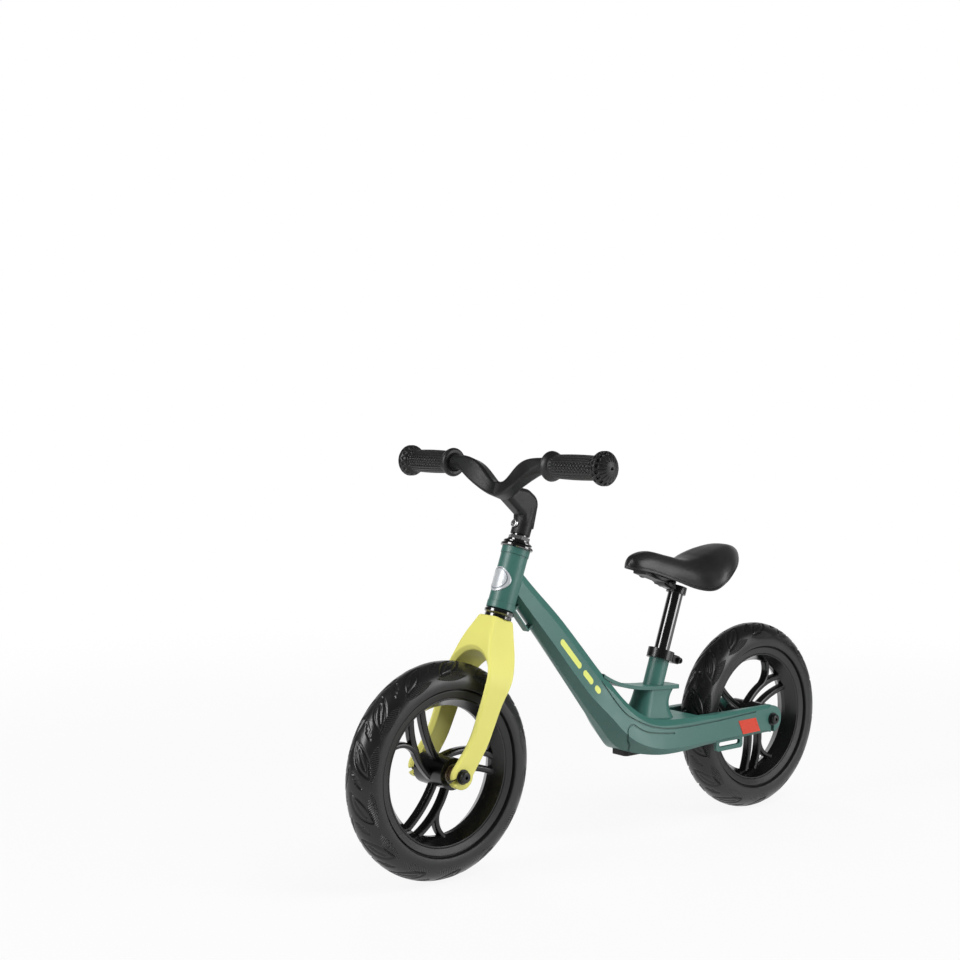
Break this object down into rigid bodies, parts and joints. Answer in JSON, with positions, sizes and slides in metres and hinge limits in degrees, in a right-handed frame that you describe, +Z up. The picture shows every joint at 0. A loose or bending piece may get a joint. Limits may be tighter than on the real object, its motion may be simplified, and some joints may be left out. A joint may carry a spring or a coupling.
{
  "type": "balance bike",
  "caption": "Child's balance bike with a one-piece low cast frame, spoked wheels on foam tyres, a steering fork with handlebar, and a height-adjustable saddle.",
  "frame": {"origin": "on the ground, midway between the two wheel axles, on the bike's middle plane", "axes": "+X ahead towards the front wheel, +Y the rider's left, +Z up"},
  "size_m": [0.88, 0.412, 0.5503],
  "materials": {
    "frame": "satin paint",
    "underside_pad": "matte",
    "head_badge": "gloss",
    "stay_reflectors": "gloss",
    "lower_cup": "gloss black",
    "lower_bearing": "ground",
    "upper_cup": "gloss black",
    "upper_bearing": "ground",
    "rear_axle": "turned",
    "rear_hub_sleeve": "turned",
    "rear_axle_spacers": "turned",
    "rear_axle_washers": "black oxide",
    "rear_axle_bolts": "black oxide",
    "seat_clamp": "gloss black",
    "seat_clamp_bolt": "bright",
    "seat_clamp_nut": "bright",
    "fork": "satin paint",
    "steerer_tube": "gloss black",
    "crown_race": "satin black",
    "cone_nut": "gloss black",
    "lock_nut": "gloss black",
    "handlebar": "fine grain",
    "stem_bolt": "bright",
    "left_grip": "matte",
    "right_grip": "matte",
    "front_axle": "turned",
    "front_hub_sleeve": "turned",
    "front_axle_spacers": "turned",
    "front_axle_washers": "black oxide",
    "front_axle_bolts": "black oxide",
    "front_tyre": "matte foam",
    "front_wheel": "gloss",
    "front_bearings": "ground",
    "rear_tyre": "matte foam",
    "rear_wheel": "gloss",
    "rear_bearings": "ground",
    "seat_post": "gloss black",
    "seat_post_plug": "matte",
    "saddle_clamp": "gloss black",
    "saddle_base": "matte",
    "saddle_cushion": "soft satin skin",
    "saddle_bolt": "bright",
    "saddle_nuts": "bright"
  },
  "bodies": {
    "frame": {"frame": "frame", "underside_pad": "underside_pad", "head_badge": "head_badge", "stay_reflectors": "stay_reflectors", "lower_cup": "lower_cup", "lower_bearing": "lower_bearing", "upper_cup": "upper_cup", "upper_bearing": "upper_bearing", "rear_axle": "rear_axle", "rear_hub_sleeve": "rear_hub_sleeve", "rear_axle_spacers": "rear_axle_spacers", "rear_axle_washers": "rear_axle_washers", "rear_axle_bolts": "rear_axle_bolts", "seat_clamp": "seat_clamp", "seat_clamp_bolt": "seat_clamp_bolt", "seat_clamp_nut": "seat_clamp_nut"},
    "steering": {"fork": "fork", "steerer_tube": "steerer_tube", "crown_race": "crown_race", "cone_nut": "cone_nut", "lock_nut": "lock_nut", "handlebar": "handlebar", "stem_bolt": "stem_bolt", "left_grip": "left_grip", "right_grip": "right_grip", "front_axle": "front_axle", "front_hub_sleeve": "front_hub_sleeve", "front_axle_spacers": "front_axle_spacers", "front_axle_washers": "front_axle_washers", "front_axle_bolts": "front_axle_bolts"},
    "front_wheel": {"front_tyre": "front_tyre", "front_wheel": "front_wheel", "front_bearings": "front_bearings"},
    "rear_wheel": {"rear_tyre": "rear_tyre", "rear_wheel": "rear_wheel", "rear_bearings": "rear_bearings"},
    "seat_post": {"seat_post": "seat_post", "seat_post_plug": "seat_post_plug", "saddle_clamp": "saddle_clamp"},
    "saddle": {"saddle_base": "saddle_base", "saddle_cushion": "saddle_cushion", "saddle_bolt": "saddle_bolt", "saddle_nuts": "saddle_nuts"}
  },
  "joints": [
    {"name": "steer", "type": "hinge", "parent": "frame", "child": "steering", "pos_m": [0.27359, 0, 0.1307], "axis": [-0.3322, 0, 0.9432], "continuous": true},
    {"name": "front_wheel_spin", "type": "hinge", "parent": "steering", "child": "front_wheel", "pos_m": [0.3, 0, 0.14], "axis": [0, 1, 0], "continuous": true},
    {"name": "rear_wheel_spin", "type": "hinge", "parent": "frame", "child": "rear_wheel", "pos_m": [-0.3, 0, 0.14], "axis": [0, 1, 0], "continuous": true},
    {"name": "seat_height", "type": "slide", "parent": "frame", "child": "seat_post", "axis": [-0.3322, 0, 0.9432], "range_m": [-0.042, 0.035]},
    {"name": "saddle_tilt", "type": "hinge", "parent": "seat_post", "child": "saddle", "pos_m": [-0.11204, 0, 0.35501], "axis": [0, 1, 0], "range_deg": [-8, 8]}
  ]
}
